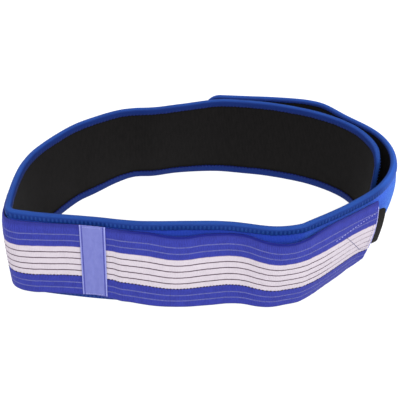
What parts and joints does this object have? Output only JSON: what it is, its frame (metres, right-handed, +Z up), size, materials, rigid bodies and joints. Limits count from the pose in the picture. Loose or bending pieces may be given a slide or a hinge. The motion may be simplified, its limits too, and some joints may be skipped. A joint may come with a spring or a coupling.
{
  "type": "sacroiliac belt",
  "caption": "Sacroiliac support belt closed to a loop: bound blue knit wall with black lining, striped elastic straps sewn under an upright tape, hook tabs at the strap ends.",
  "frame": {"origin": "on the floor under the middle of the loop's box", "axes": "+X to the right seen from the front, +Y from the strapped front to the overlapped far side, +Z up along the belt's height"},
  "size_m": [0.3486, 0.224, 0.088],
  "materials": {
    "shell_knit": "brushed loop knit, matt",
    "lining_knit": "smooth black knit on foam, matt",
    "binding_tape": "folded woven edge tape with a stitched row",
    "strap_elastic": "striped woven elastic, matt",
    "join_tape_web": "woven tape with sewn edges",
    "hook_web": "black hook tape"
  },
  "bodies": {
    "root": {"belt_shell": "shell_knit", "belt_lining": "lining_knit", "binding_upper": "binding_tape", "binding_lower": "binding_tape", "strap_right": "strap_elastic", "strap_left": "strap_elastic", "join_tape": "join_tape_web", "hook_tab_right": "hook_web", "hook_tab_left": "hook_web", "closure_hook": "hook_web"}
  },
  "joints": []
}
